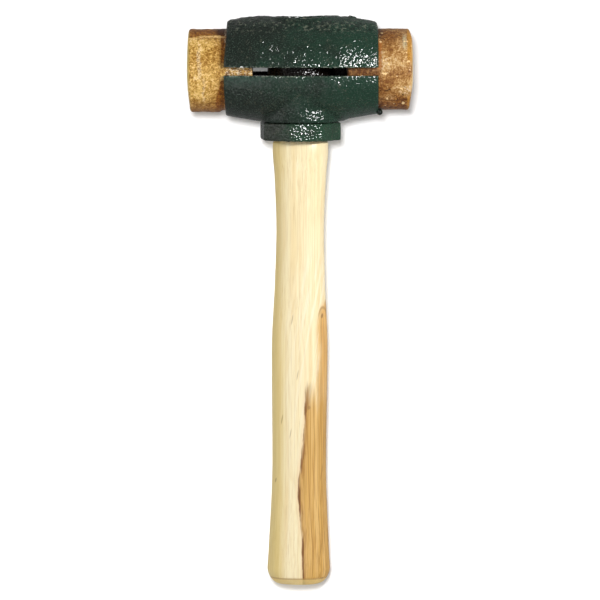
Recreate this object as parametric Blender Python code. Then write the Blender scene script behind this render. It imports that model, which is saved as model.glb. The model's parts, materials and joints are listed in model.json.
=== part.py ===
"""Split-head mallet with two rawhide faces, lying at rest on its barrel and on the end of its handle.

Every piece is drawn in the tool's own frame, in millimetres: X along the barrel, Y from the butt of
the handle towards the eye, Z up, with the origin where the barrel's axis crosses the handle's axis.
The empty called "tool" carries that frame and lays it on the ground.
"""

import math

import bmesh
import bpy
import numpy as np
from mathutils import Matrix

MM = 0.001
GAP = 0.3  # between pieces that touch
FAR = 80.0  # how far a cutter reaches, well outside every piece
PAST = 3.0  # how far a wedge's cutter runs on above the wedge

# rawhide faces: standard 2 inch cylinders
FACE_R = 25.4
FACE_LENGTH = 41.0
FACE_INNER_X = {"left_face": -29.6, "right_face": 29.0}
FACE_FLAT_R = 9.0
FACE_CROWN = 1.2
FACE_EDGE = 1.3
FACE_INNER_EDGE = 1.0

# barrel casting, split into an upper and a lower jaw
BARREL_END = {-1: 47.5, 1: 48.2}
BARREL_STATIONS = (0.0, 14.0, 20.0, 24.0, 28.0, 34.0)  # where its outline is drawn, from its middle
PLATEAU_HALF = 25.0
TAPER_DEG = 10.0
TAPER_SOFT = 3.0  # the length over which the taper sets in
UPPER_R = 33.4
LOWER_R = 32.6
SPLIT_HALF = 2.5
END_ROUND = 1.6
END_LIP = 0.4
MOUTH_WALL = 1.3
SEAT_R = FACE_R + GAP
LEDGE_X = 28.7
MIDDLE_BORE_R = 22.5

# flat oval pad on the crown, round the top of the eye
PAD_TOP = 32.7
PAD_HALF = (19.0, 14.5)
PAD_FOOT = 26.0
PAD_FOOT_HALF = (24.0, 20.5)
PAD_CUT_HALF = (20.5, 16.0)  # the cutter that levels it, and the crown beside it

# web cast between the stem and the upper jaw's right ledge
WEB_HALF = 2.2
WEB_START = 19.0
WEB_END = 28.5
WEB_LOW = -6.0
WEB_HIGH = 23.5

# threaded stem, cast with the upper jaw
STEM_R = 20.5
STEM_TOP = 24.0
STEM_SHOULDER = -28.0
STEM_END = -43.6
THREAD_MAJOR_R = 19.05
THREAD_MINOR_R = 17.35
PITCH = 3.175
THREAD_START = STEM_END + 0.35
THREAD_ROWS = ((0.0, 0.0), (0.147, 0.0), (0.5, 1.0), (0.647, 1.0))
THREAD_CLEAR = 0.4
THREAD_RELIEF = 0.2  # how far each end of a thread runs out below its root
THREAD_MARGIN = 0.3  # plain length left at each end of a thread
THREAD_ROUND = 32

# round boss under the lower jaw, which the nut bears on
BOSS_R = 25.6
BOSS_END = -32.2
BOSS_FLARE_R = 27.6
BOSS_FLARE_Y = -17.4
BOSS_FLARE_END = -25.0
BOSS_EDGE = 0.8
STEM_HOLE_R = STEM_R + 0.4

# eight-sided clamp nut
NUT_TOP = -32.5
NUT_END = -43.6
NUT_FLAT_HALF = 23.95
NUT_TURN_DEG = -15.2
NUT_EDGE = 1.0
NUT_EASE = 0.8  # how much of each flat is taken off at a corner
NUT_SINK = 1.0  # how far each countersink's cutter stands outside the nut

# eye through the stem, and the tenon of the handle in it
EYE_LOW = (13.8, 11.2)
EYE_HIGH = (15.3, 11.8)
TENON_TOP = 31.4
TENON_TRIM = 1.3
TENON_TRIM_IN = 1.04

# handle: half width across the barrel's length, at distances below the barrel's axis
HANDLE_STATIONS = (
    (49.0, 17.35),
    (66.0, 16.05),
    (100.0, 14.8),
    (133.0, 15.65),
    (175.0, 17.4),
    (245.0, 16.8),
    (300.0, 18.85),
    (312.0, 19.6),
)
HANDLE_TOP = 43.9
HANDLE_TOP_ROUND = 1.4
HANDLE_TOP_BLEND = 2.5
HANDLE_END = 321.6
HANDLE_END_HALF = 12.5
HANDLE_END_START = 0.55  # share of the end's rounding where the front and back begin to slope
HANDLE_END_SLOPE = 3.9
HANDLE_LEAN = -1.1  # sideways at the butt, as the stick grew
HANDLE_FLATNESS = 0.78
HANDLE_SQUARENESS = 2.3
HANDLE_RINGS = (304, 290, 272, 250, 225, 200, 175, 155, 140, 125, 110, 96, 82, 70, 60, 51)

# wooden wedge along the barrel, steel wedges across it
WOOD_WEDGE_TOP = 31.2
WOOD_WEDGE_TIP = 4.0
WOOD_WEDGE_HALF = (0.6, 2.4)
WOOD_WEDGE_INSET = 1.2
KERF_END = -4.0
STEEL_WEDGE_X = {"steel_wedge_left": -7.5, "steel_wedge_right": 7.5}
STEEL_WEDGE_TOP = 31.5
STEEL_WEDGE_TIP = 19.0
STEEL_WEDGE_HALF = (0.35, 1.1)
STEEL_WEDGE_SPAN = 8.5

ROUND = 48  # points round a full circle
SHARP_DEG = 32
MERGE = 0.002 * MM


def start_clean():
    for obj in list(bpy.data.objects):
        bpy.data.objects.remove(obj, do_unlink=True)


def material(name, colour, metallic, roughness):
    mat = bpy.data.materials.new(name)
    mat.use_nodes = True
    shader = mat.node_tree.nodes["Principled BSDF"]
    shader.inputs["Base Color"].default_value = (*colour, 1.0)
    shader.inputs["Metallic"].default_value = metallic
    shader.inputs["Roughness"].default_value = roughness
    return mat


def solid(name, points, faces):
    """A new object from points in millimetres, with its faces turned outwards."""
    mesh = bpy.data.meshes.new(name)
    mesh.from_pydata([tuple(float(c) * MM for c in p) for p in points], [], faces)
    bm = bmesh.new()
    bm.from_mesh(mesh)
    bmesh.ops.recalc_face_normals(bm, faces=bm.faces)
    bm.to_mesh(mesh)
    bm.free()
    obj = bpy.data.objects.new(name, mesh)
    bpy.context.scene.collection.objects.link(obj)
    return obj


def loft(name, rings):
    """A closed skin over equal rings of points, with a flat cap at each end."""
    count = len(rings[0])
    points = [p for ring in rings for p in ring]
    faces = [tuple(range(count)), tuple(range(len(points) - count, len(points)))]
    for row in range(len(rings) - 1):
        low = row * count
        for i in range(count):
            j = (i + 1) % count
            faces.append((low + i, low + j, low + count + j, low + count + i))
    return solid(name, points, faces)


def around_y(radius, y, count=ROUND):
    """Points on a circle about the handle's axis."""
    turns = [2 * math.pi * i / count for i in range(count)]
    return [(radius * math.sin(t), y, radius * math.cos(t)) for t in turns]


def around_x(radius, x, count=ROUND):
    """Points on a circle about the barrel's axis."""
    turns = [2 * math.pi * i / count for i in range(count)]
    return [(x, radius * math.sin(t), radius * math.cos(t)) for t in turns]


def combine(target, other, operation):
    """Add or cut another solid, keep the result as the target's own mesh and drop the other."""
    modifier = target.modifiers.new(operation, "BOOLEAN")
    modifier.operation = operation
    modifier.solver = "EXACT"
    modifier.object = other
    evaluated = target.evaluated_get(bpy.context.evaluated_depsgraph_get())
    mesh = bpy.data.meshes.new_from_object(evaluated)
    target.modifiers.clear()
    target.data = mesh
    bpy.data.objects.remove(other, do_unlink=True)


def finish(obj, mat, parent):
    """Clean seams, set the shading and the material, and hang the piece on the tool's frame."""
    bm = bmesh.new()
    bm.from_mesh(obj.data)
    bmesh.ops.remove_doubles(bm, verts=bm.verts, dist=MERGE)
    bmesh.ops.dissolve_degenerate(bm, edges=bm.edges, dist=MERGE)
    bmesh.ops.recalc_face_normals(bm, faces=bm.faces)
    bm.to_mesh(obj.data)
    bm.free()
    obj.data.shade_smooth()
    obj.data.set_sharp_from_angle(angle=math.radians(SHARP_DEG))
    obj.data.materials.clear()
    obj.data.materials.append(mat)
    obj.parent = parent


def barrel_radius(x, crown):
    """The casting's outer radius: level in the middle, then tapered, with a soft change between."""
    slope = math.tan(math.radians(TAPER_DEG))

    def drop(distance):
        past = distance - PLATEAU_HALF
        return 0.5 * slope * (past + math.hypot(past, TAPER_SOFT))

    return crown - drop(abs(x)) + drop(0.0)


def half_profile(crown, way):
    """Half of the barrel's outline, from its middle to the rounded end on one side."""
    end = BARREL_END[way]
    inner = end - END_ROUND
    end_r = barrel_radius(inner, crown)
    lip = SEAT_R + MOUTH_WALL
    half = [(x, barrel_radius(x, crown)) for x in BARREL_STATIONS]
    half += [(inner, end_r), (end - END_LIP, 0.5 * (end_r + lip)), (end, lip)]
    return [(way * x, r) for x, r in half]


def half_barrel(name, crown, side):
    """One solid half of the barrel, cut flat at the split. side is +1 above and -1 below."""
    profile = half_profile(crown, -1)[:0:-1] + half_profile(crown, 1)
    steps = ROUND // 2 + 2
    rings = []
    for x, r in profile:
        first = math.asin(SPLIT_HALF / r)
        turns = np.linspace(first, math.pi - first, steps)
        rings.append([(x, side * r * math.sin(t), r * math.cos(t)) for t in turns])
    return loft(name, rings)


def bore(name):
    """The space inside the barrel: a seat for each face and a narrower middle between ledges."""
    profile = [(FAR, SEAT_R), (LEDGE_X, SEAT_R), (LEDGE_X, MIDDLE_BORE_R)]
    rings = [around_x(r, -x) for x, r in profile]
    rings += [around_x(r, x) for x, r in reversed(profile)]
    return loft(name, rings)


def threaded_rod(name, low, high, clear, tapered, top_ring, count=THREAD_ROUND):
    """A rod with a right-hand thread between two heights. top_ring adds rings above it."""
    per_turn = len(THREAD_ROWS)
    minor = THREAD_MINOR_R + clear
    major = THREAD_MAJOR_R + clear

    def row(i, k):
        part, high_part = THREAD_ROWS[k % per_turn]
        y = THREAD_START + PITCH * (k // per_turn + part + i / count)
        radius = minor + high_part * (major - minor)
        if tapered:
            radius = min(radius, minor - THREAD_RELIEF + (y - low), minor + (high - y))
        turn = 2 * math.pi * i / count
        return (radius * math.sin(turn), y, radius * math.cos(turn))

    first = math.ceil((low + THREAD_MARGIN - THREAD_START) / PITCH) * per_turn
    last = math.floor((high - THREAD_MARGIN - THREAD_START) / PITCH - 1) * per_turn
    points = []
    index = {}
    for i in range(count):
        for k in range(first, last + 1 + (per_turn if i == 0 else 0)):
            index[i, k] = len(points)
            points.append(row(i, k))

    def at(i, k):
        return index[(i, k)] if i < count else index[(0, k + per_turn)]

    faces = []
    for i in range(count):
        for k in range(first, last):
            faces.append((at(i, k), at(i + 1, k), at(i + 1, k + 1), at(i, k + 1)))

    bottom = len(points)
    points += around_y(minor - THREAD_RELIEF, low, count)
    top = len(points)
    points += around_y(minor - THREAD_RELIEF, high, count)
    for i in range(count):
        j = (i + 1) % count
        faces.append((bottom + i, bottom + j, at(i + 1, first), at(i, first)))
        faces.append((at(i, last), at(i + 1, last), top + j, top + i))
    start = [at(0, k) for k in range(first, first + per_turn + 1)]
    runout = [at(0, k) for k in range(last, last + per_turn + 1)]
    faces.append((bottom, *start))
    faces.append((*runout, top))
    faces.append(tuple(bottom + i for i in range(count)))
    for radius, y in top_ring:
        base = len(points)
        points += around_y(radius, y, count)
        for i in range(count):
            j = (i + 1) % count
            faces.append((top + i, top + j, base + j, base + i))
        top = base
    faces.append(tuple(top + i for i in range(count)))
    return solid(name, points, faces)


def oval(half_x, half_z, y, count=40, squareness=2.0):
    """A ring of points on a rounded oval about the handle's axis."""
    ring = []
    for i in range(count):
        turn = 2 * math.pi * i / count
        s = math.sin(turn)
        c = math.cos(turn)
        x = half_x * math.copysign(abs(s) ** (2 / squareness), s)
        z = half_z * math.copysign(abs(c) ** (2 / squareness), c)
        ring.append((x, y, z))
    return ring


def eye_half(y):
    """Half width and half depth of the eye at a height: it opens towards its top."""
    t = (y - STEM_END) / (PAD_TOP - STEM_END)
    return [low + (high - low) * t for low, high in zip(EYE_LOW, EYE_HIGH)]


def wedge(name, x_range, y_range, low_half, high_half, across):
    """A tapered block. It lies along the barrel, or across it when across is true."""
    rings = []
    for y, half in ((y_range[0], low_half), (y_range[1], high_half)):
        low, high = x_range
        flat = [(low, -half), (high, -half), (high, half), (low, half)]
        if across:
            flat = [(b, a) for a, b in flat]
        rings.append([(a, y, b) for a, b in flat])
    return loft(name, rings)


def handle_width(depth):
    """Half width at a distance below the barrel's axis: a smooth curve through the stations."""
    d = np.array([s[0] for s in HANDLE_STATIONS])
    w = np.array([s[1] for s in HANDLE_STATIONS])
    step = np.diff(d)
    rise = np.diff(w) / step
    slope = np.zeros(len(d))
    for i in range(1, len(d) - 1):
        if rise[i - 1] * rise[i] > 0:
            slope[i] = 2 * rise[i - 1] * rise[i] / (rise[i - 1] + rise[i])
    slope[-1] = rise[-1]
    depth = min(max(depth, d[0]), d[-1])
    i = min(int(np.searchsorted(d, depth, side="right")) - 1, len(d) - 2)
    t = (depth - d[i]) / step[i]
    start = w[i] * (1 + 2 * t) * (1 - t) ** 2 + slope[i] * step[i] * t * (1 - t) ** 2
    return start + w[i + 1] * t * t * (3 - 2 * t) + slope[i + 1] * step[i] * t * t * (t - 1)


def grip_ring(half_x, half_z, depth):
    """One section of the stick, shifted by its lean."""
    way_down = (depth - HANDLE_TOP) / (HANDLE_END - HANDLE_TOP)
    shift = HANDLE_LEAN * max(way_down, 0.0)
    ring = oval(half_x, half_z, -depth, squareness=HANDLE_SQUARENESS)
    return [(x + shift, y, z) for x, y, z in ring]


def handle():
    """Butt, grip, shoulder and tenon as one lofted skin."""
    rings = []
    widest = handle_width(HANDLE_STATIONS[-1][0])
    drop = HANDLE_END - HANDLE_STATIONS[-1][0]
    for t in (1.0, 0.85, HANDLE_END_START, 0.3, 0.15, 0.0):
        half = HANDLE_END_HALF + (widest - HANDLE_END_HALF) * math.sqrt(1 - t**1.6)
        slope = max(0.0, (t - HANDLE_END_START) / (1 - HANDLE_END_START))
        half_z = widest * HANDLE_FLATNESS - HANDLE_END_SLOPE * slope
        rings.append(grip_ring(half, half_z, HANDLE_STATIONS[-1][0] + drop * t))
    for depth in HANDLE_RINGS:
        half = handle_width(depth)
        rings.append(grip_ring(half, half * HANDLE_FLATNESS, depth))
    top_half = handle_width(HANDLE_STATIONS[0][0])
    for t in (0.55, 0.15, 0.0):
        half = top_half - HANDLE_TOP_ROUND * (1 - t) ** 2
        rings.append(grip_ring(half, half * HANDLE_FLATNESS, HANDLE_TOP + HANDLE_TOP_BLEND * t))
    for y in (-HANDLE_TOP + 0.02, -20.0, 5.0, TENON_TOP - TENON_TRIM, TENON_TOP):
        smaller = GAP + (TENON_TRIM_IN if y == TENON_TOP else 0.0)
        half_x, half_z = eye_half(y)
        rings.append(oval(half_x - smaller, half_z - smaller, y))
    return loft("handle", rings)


def build_upper_jaw():
    jaw = half_barrel("upper_jaw", UPPER_R, 1)
    rise = [high - low for low, high in zip(PAD_FOOT_HALF, PAD_HALF)]
    above = [half + 0.3 * step for half, step in zip(PAD_HALF, rise)]
    above_y = PAD_TOP + 0.3 * (PAD_TOP - PAD_FOOT)
    combine(jaw, loft("pad", [oval(*PAD_FOOT_HALF, PAD_FOOT), oval(*above, above_y)]), "UNION")
    combine(jaw, loft("level", [oval(*PAD_CUT_HALF, y) for y in (PAD_TOP, FAR)]), "DIFFERENCE")
    combine(jaw, bore("bore"), "DIFFERENCE")
    web = wedge("web", (WEB_START, WEB_END), (WEB_LOW, WEB_HIGH), WEB_HALF, WEB_HALF, False)
    combine(jaw, web, "UNION")
    rings = [(THREAD_MINOR_R, STEM_SHOULDER - 0.6), (STEM_R, STEM_SHOULDER), (STEM_R, STEM_TOP)]
    stem = threaded_rod("stem", STEM_END, STEM_SHOULDER - 1.0, 0.0, True, rings)
    combine(jaw, stem, "UNION")
    eye = loft("eye", [oval(*eye_half(y), y) for y in (STEM_END - 8.0, PAD_TOP + 8.0)])
    combine(jaw, eye, "DIFFERENCE")
    return jaw


def build_lower_jaw():
    jaw = half_barrel("lower_jaw", LOWER_R, -1)
    rings = [
        around_y(BOSS_R - BOSS_EDGE, BOSS_END - 2.0),
        around_y(BOSS_R - BOSS_EDGE, BOSS_END),
        around_y(BOSS_R, BOSS_END + BOSS_EDGE),
        around_y(BOSS_R, BOSS_FLARE_END),
        around_y(BOSS_R + 0.6, 0.5 * (BOSS_FLARE_END + BOSS_FLARE_Y)),
        around_y(BOSS_FLARE_R, BOSS_FLARE_Y),
        around_y(BOSS_FLARE_R, BOSS_FLARE_Y + 5.0),
    ]
    combine(jaw, loft("boss", rings), "UNION")
    combine(jaw, bore("bore"), "DIFFERENCE")
    combine(jaw, loft("hole", [around_y(STEM_HOLE_R, -FAR), around_y(STEM_HOLE_R, 0.0)]), "DIFFERENCE")
    below = wedge("below", (-FAR, FAR), (-FAR, BOSS_END), FAR, FAR, False)
    combine(jaw, below, "DIFFERENCE")
    return jaw


def build_nut():
    """Eight flats with eased corners, countersunk at both ends and threaded through."""
    corner = NUT_FLAT_HALF / math.cos(math.pi / 8)

    def ring(shrink, y):
        # each corner is replaced by two points, eased along the flats on either side of it
        points = []
        reach = corner - shrink
        part = NUT_EASE / (2 * reach * math.sin(math.pi / 8))
        for n in range(8):
            here = math.radians(NUT_TURN_DEG) + n * math.pi / 4
            for side in (-1, 1):
                there = here + side * math.pi / 4
                x = math.sin(here) * (1 - part) + math.sin(there) * part
                z = math.cos(here) * (1 - part) + math.cos(there) * part
                points.append((reach * x, y, reach * z))
        return points

    heights = (
        (NUT_EDGE, NUT_END),
        (0.3 * NUT_EDGE, NUT_END + 0.3 * NUT_EDGE),
        (0.0, NUT_END + NUT_EDGE),
        (0.0, NUT_TOP - NUT_EDGE),
        (0.3 * NUT_EDGE, NUT_TOP - 0.3 * NUT_EDGE),
        (NUT_EDGE, NUT_TOP),
    )
    nut = loft("clamp_nut", [ring(shrink, y) for shrink, y in heights])
    low = NUT_END - 2 * PITCH
    high = NUT_TOP + 2 * PITCH
    combine(nut, threaded_rod("thread", low, high, THREAD_CLEAR, False, ()), "DIFFERENCE")
    wide = THREAD_MAJOR_R + THREAD_CLEAR + 0.3
    slim = THREAD_MINOR_R + THREAD_CLEAR - THREAD_RELIEF
    for y, away in ((NUT_END, -1), (NUT_TOP, 1)):
        mouth = around_y(wide + NUT_SINK, y + away * NUT_SINK, THREAD_ROUND)
        foot = around_y(slim, y - away * (wide - slim), THREAD_ROUND)
        combine(nut, loft("sink", [mouth, foot]), "DIFFERENCE")
    return nut


def build_face(name):
    """A rolled cylinder with a slightly crowned striking end and eased edges."""
    inner = FACE_INNER_X[name]
    out = math.copysign(1.0, inner)
    edge_x = FACE_LENGTH - FACE_CROWN
    profile = [
        (0.0, FACE_R - FACE_INNER_EDGE),
        (FACE_INNER_EDGE, FACE_R),
        (edge_x - FACE_EDGE, FACE_R),
        (edge_x - 0.3 * FACE_EDGE, FACE_R - 0.3 * FACE_EDGE),
        (edge_x, FACE_R - FACE_EDGE),
        (FACE_LENGTH - 0.4 * FACE_CROWN, 0.65 * FACE_R),
        (FACE_LENGTH, FACE_FLAT_R),
    ]
    return loft(name, [around_x(r, inner + out * x) for x, r in profile])


def build_wedges():
    """The wooden wedge, the two steel ones, and the slots they need in the tenon and in the wood."""
    grip = build_handle_with_kerf()
    low, high = WOOD_WEDGE_HALF
    half_x = EYE_HIGH[0] - GAP - WOOD_WEDGE_INSET
    heights = (WOOD_WEDGE_TIP, WOOD_WEDGE_TOP)
    wood = wedge("wood_wedge", (-half_x, half_x), heights, low, high, False)
    steels = []
    for name, x in STEEL_WEDGE_X.items():
        low, high = STEEL_WEDGE_HALF
        span = (-STEEL_WEDGE_SPAN, STEEL_WEDGE_SPAN)
        steel = wedge(name, span, (STEEL_WEDGE_TIP, STEEL_WEDGE_TOP), low, high, True)
        steel.data.transform(Matrix.Translation((x * MM, 0.0, 0.0)))
        steels.append(steel)
        slope = (high - low) / (STEEL_WEDGE_TOP - STEEL_WEDGE_TIP)
        for target in (grip, wood):
            wide = (span[0] - GAP, span[1] + GAP)
            heights = (STEEL_WEDGE_TIP - GAP, STEEL_WEDGE_TOP + PAST)
            slot = wedge("slot", wide, heights, low + GAP, high + GAP + PAST * slope, True)
            slot.data.transform(Matrix.Translation((x * MM, 0.0, 0.0)))
            combine(target, slot, "DIFFERENCE")
    return grip, wood, steels


def build_handle_with_kerf():
    grip = handle()
    low, high = WOOD_WEDGE_HALF
    slope = (high - low) / (WOOD_WEDGE_TOP - WOOD_WEDGE_TIP)
    heights = (WOOD_WEDGE_TIP - GAP, WOOD_WEDGE_TOP + PAST)
    taper = wedge("kerf", (-FAR, FAR), heights, low + GAP, high + GAP + PAST * slope, False)
    combine(grip, taper, "DIFFERENCE")
    saw = wedge("saw", (-FAR, FAR), (KERF_END, WOOD_WEDGE_TIP + 1.0), low, low, False)
    combine(grip, saw, "DIFFERENCE")
    return grip


def corners(objects):
    """Every mesh corner of the objects in the tool's frame, as an array in metres."""
    return np.array([v.co[:] for obj in objects for v in obj.data.vertices])


def rest_angle(head, stick):
    """The tilt at which the barrel and the end of the handle touch the same ground."""
    low = 0.0
    high = math.radians(15)
    for _ in range(60):
        middle = 0.5 * (low + high)
        height = [
            (pts[:, 1] * math.sin(middle) + pts[:, 2] * math.cos(middle)).min() for pts in (head, stick)
        ]
        if height[1] > height[0]:
            low = middle
        else:
            high = middle
    return 0.5 * (low + high)


def main():
    start_clean()
    tool = bpy.data.objects.new("tool", None)
    bpy.context.scene.collection.objects.link(tool)

    green = (0.030, 0.085, 0.055)
    upper_jaw = build_upper_jaw()
    lower_jaw = build_lower_jaw()
    clamp_nut = build_nut()
    faces = [build_face(name) for name in FACE_INNER_X]
    grip, wood, steels = build_wedges()

    finish(upper_jaw, material("upper_jaw_enamel", green, 0.0, 0.3), tool)
    finish(lower_jaw, material("lower_jaw_enamel", green, 0.0, 0.3), tool)
    finish(clamp_nut, material("nut_enamel", (0.045, 0.090, 0.062), 0.0, 0.3), tool)
    for face, colour in zip(faces, ((0.55, 0.30, 0.08), (0.50, 0.24, 0.08))):
        finish(face, material(face.name + "_rawhide", colour, 0.0, 0.35), tool)
    finish(grip, material("hickory", (0.83, 0.66, 0.42), 0.0, 0.45), tool)
    finish(wood, material("wedge_wood", (0.62, 0.42, 0.22), 0.0, 0.6), tool)
    for steel in steels:
        finish(steel, material(steel.name + "_steel", (0.45, 0.45, 0.46), 1.0, 0.35), tool)

    head = corners([upper_jaw, lower_jaw])
    stick = corners([grip])
    angle = rest_angle(head, stick)
    everything = corners([upper_jaw, lower_jaw, clamp_nut, grip, wood, *faces, *steels])
    cos, sin = math.cos(angle), math.sin(angle)
    y = everything[:, 1] * cos - everything[:, 2] * sin
    z = everything[:, 1] * sin + everything[:, 2] * cos
    x = everything[:, 0]
    tool.rotation_euler = (angle, 0.0, 0.0)
    tool.location = (-0.5 * (x.min() + x.max()), -0.5 * (y.min() + y.max()), -z.min())
    print("rest angle", math.degrees(angle), "tool origin", tuple(tool.location))


main()
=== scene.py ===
"""Looks for the split-head rawhide mallet: enamelled castings, rolled rawhide and a hickory handle.

Every piece is drawn in the tool's own frame, in millimetres: X along the barrel, Y from the butt of
the handle towards the eye, Z up off the bench, with the origin where the two axes cross. TOOL is the
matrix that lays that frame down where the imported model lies.
"""

import json
import math

import bmesh
import bpy
import numpy as np
from mathutils import Matrix, Vector, noise


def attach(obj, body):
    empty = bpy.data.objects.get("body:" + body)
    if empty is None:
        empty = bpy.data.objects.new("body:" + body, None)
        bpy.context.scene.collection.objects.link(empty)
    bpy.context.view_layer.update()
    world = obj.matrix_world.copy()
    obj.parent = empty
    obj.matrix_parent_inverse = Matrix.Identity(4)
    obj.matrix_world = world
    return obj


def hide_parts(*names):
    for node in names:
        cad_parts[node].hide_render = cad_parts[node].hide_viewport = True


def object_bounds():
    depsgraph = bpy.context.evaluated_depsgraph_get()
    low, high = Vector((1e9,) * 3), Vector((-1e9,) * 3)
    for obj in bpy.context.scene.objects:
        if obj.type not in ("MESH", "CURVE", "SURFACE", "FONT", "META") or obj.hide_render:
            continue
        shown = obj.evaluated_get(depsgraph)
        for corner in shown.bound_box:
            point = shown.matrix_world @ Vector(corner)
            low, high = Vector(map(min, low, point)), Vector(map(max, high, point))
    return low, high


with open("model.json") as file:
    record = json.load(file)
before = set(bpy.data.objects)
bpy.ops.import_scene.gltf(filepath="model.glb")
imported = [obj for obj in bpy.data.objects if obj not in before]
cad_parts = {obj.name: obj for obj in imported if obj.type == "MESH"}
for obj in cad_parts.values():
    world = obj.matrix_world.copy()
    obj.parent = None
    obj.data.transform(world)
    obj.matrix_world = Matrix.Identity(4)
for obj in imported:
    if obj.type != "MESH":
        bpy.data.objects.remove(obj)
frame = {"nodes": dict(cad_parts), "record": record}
cad_low, cad_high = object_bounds()

MM = 0.001
FAR = 80.0  # how far a cutter reaches, well outside every piece
JOINTS = {joint["name"]: joint for joint in frame["record"]["behaviour"]["joints"]}
MOUNTS = {mount["name"]: mount for mount in frame["record"]["mounts"]}


def tool_matrix():
    """The tool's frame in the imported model: along the barrel, up the handle, and out of the bench."""
    up = -Vector(JOINTS["nut_turn"]["axis"]).normalized()
    right = Vector(JOINTS["right_face_slide"]["axis"]).normalized()
    origin = Vector(MOUNTS["strike_face_right"]["pos_m"])
    origin.x = JOINTS["nut_turn"]["pos_m"][0]
    matrix = Matrix((right, up, right.cross(up))).transposed().to_4x4()
    return Matrix.Translation(origin) @ matrix


TOOL = tool_matrix()


def tool_box(node):
    """Lowest and highest corner of a CAD node in the tool's frame, in millimetres."""
    back = TOOL.inverted()
    points = np.array([tuple(back @ v.co) for v in frame["nodes"][node].data.vertices]) / MM
    return points.min(axis=0), points.max(axis=0)


# ---------------------------------------------------------------- sizes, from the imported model

left_low, left_high = tool_box("left_face")
right_low, right_high = tool_box("right_face")
lower_low, lower_high = tool_box("lower_jaw")
upper_low, upper_high = tool_box("upper_jaw")
nut_low, nut_high = tool_box("clamp_nut")
handle_low, handle_high = tool_box("handle")
wood_low, wood_high = tool_box("wood_wedge")
steel_low, steel_high = tool_box("steel_wedge_right")

FACE_R = right_high[2]
FACE_LENGTH = right_high[0] - right_low[0]
FACE_INNER_X = {"left": left_high[0], "right": right_low[0]}
SEAT_R = FACE_R + 0.3

BARREL_END = {-1: -lower_low[0], 1: lower_high[0]}
UPPER_R = upper_high[2]
LOWER_R = lower_high[2]
SPLIT_HALF = -lower_high[1]
STEM_END = upper_low[1]
BOSS_END = lower_low[1]
NUT_TOP = nut_high[1]
NUT_END = nut_low[1]
TENON_TOP = handle_high[1]
HANDLE_END = -handle_low[1]
WOOD_WEDGE_TOP = wood_high[1]
WOOD_WEDGE_TIP = wood_low[1]
WOOD_WEDGE_REACH = wood_high[0]
STEEL_WEDGE_TOP = steel_high[1]
STEEL_WEDGE_TIP = steel_low[1]
STEEL_WEDGE_SPAN = steel_high[2]
STEEL_WEDGE_X = 0.5 * (steel_low[0] + steel_high[0])

# castings
PLATEAU_HALF = 25.0
TAPER_DEG = 10.0
TAPER_SOFT = 3.0
END_ROUND = 1.6
MOUTH_WALL = 1.3
LEDGE_X = 28.7
MIDDLE_BORE_R = 22.5
PAD_TOP = 32.7
PAD_HALF = (19.0, 14.5)
PAD_FOOT = 26.0
PAD_FOOT_HALF = (24.0, 20.5)
PAD_CUT_HALF = (20.5, 16.0)
WEB_X = (19.0, 28.85)
WEB_Y = (-6.0, 23.5)
WEB_HALF = 2.2
STEM_R = 20.5
STEM_TOP = 24.0
STEM_SHOULDER = -28.0
BOSS_R = 25.6
BOSS_FLARE_Y = -17.0
BOSS_FLARE_R = 28.2
BOSS_FLARE = 9.0  # the height over which the boss widens
BOSS_EDGE = 0.8
BEAD_CENTRE = (49.0, -26.0, 9.5)
BEAD_R = 1.9
STEM_HOLE_R = 20.9
CASTING_VOXEL = 0.64
CASTING_SKIN = ((9.0, 0.13), (3.4, 0.07), (1.7, 0.045))
# how much fuller or flatter the crown is than a true barrel, at places along it
CROWN_FULLNESS = (
    (-48.0, 0.9), (-45.0, 1.1), (-41.0, 0.9), (-37.0, 0.9), (-34.0, 0.7), (-29.0, 0.2),
    (-22.0, 0.0), (-8.0, -0.2), (0.0, -0.45), (9.0, -0.05), (19.0, 0.55), (25.0, -0.1),
    (29.0, 0.3), (33.0, 0.2), (41.0, 0.25), (49.0, 0.3),
)

# thread and nut
THREAD_MAJOR_R = 19.05
THREAD_MINOR_R = 17.35
THREAD_START = STEM_END + 0.35
THREAD_CLEAR = 0.4
PITCH = 3.175
NUT_FLAT_HALF = 23.95
NUT_TURN_DEG = -15.2
NUT_EDGE = 0.9
NUT_VOXEL = 0.36
NUT_SKIN = ((6.0, 0.12), (2.4, 0.07), (1.2, 0.03))

# eye, tenon, handle and wedges
EYE_LOW = (13.8, 11.2)
EYE_HIGH = (15.3, 11.8)
TENON_GAP = 0.12
HANDLE_STATIONS = (
    (49.0, 17.35), (66.0, 16.05), (100.0, 14.8), (133.0, 15.65),
    (175.0, 17.4), (245.0, 16.8), (300.0, 18.85), (312.0, 19.6),
)
HANDLE_TOP = 43.9
HANDLE_END_HALF = 12.5
# where the rings of the rounded butt stand: 1 is at its end, 0 where it begins
BUTT_STEPS = (
    1.0, 0.985, 0.95, 0.88, 0.8, 0.7, 0.62, 0.58, 0.55, 0.52, 0.45, 0.35, 0.25, 0.15, 0.07, 0.0,
)
HANDLE_FLATNESS = 0.78
HANDLE_SQUARENESS = 2.3
HANDLE_LEAN = -1.1
WOOD_WEDGE_HALF = (0.6, 2.4)
STEEL_WEDGE_HALF = (0.35, 1.1)


# ---------------------------------------------------------------- meshes

def in_scene(name, data):
    obj = bpy.data.objects.new(name, data)
    bpy.context.scene.collection.objects.link(obj)
    return obj


def new_object(name, points, faces):
    """A new object in the tool's frame, from points in millimetres, with its faces turned outwards."""
    mesh = bpy.data.meshes.new(name)
    mesh.from_pydata([tuple(float(c) * MM for c in p) for p in points], [], faces)
    bm = bmesh.new()
    bm.from_mesh(mesh)
    bmesh.ops.recalc_face_normals(bm, faces=bm.faces)
    bm.to_mesh(mesh)
    bm.free()
    obj = in_scene(name, mesh)
    obj.matrix_world = TOOL
    return obj


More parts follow.
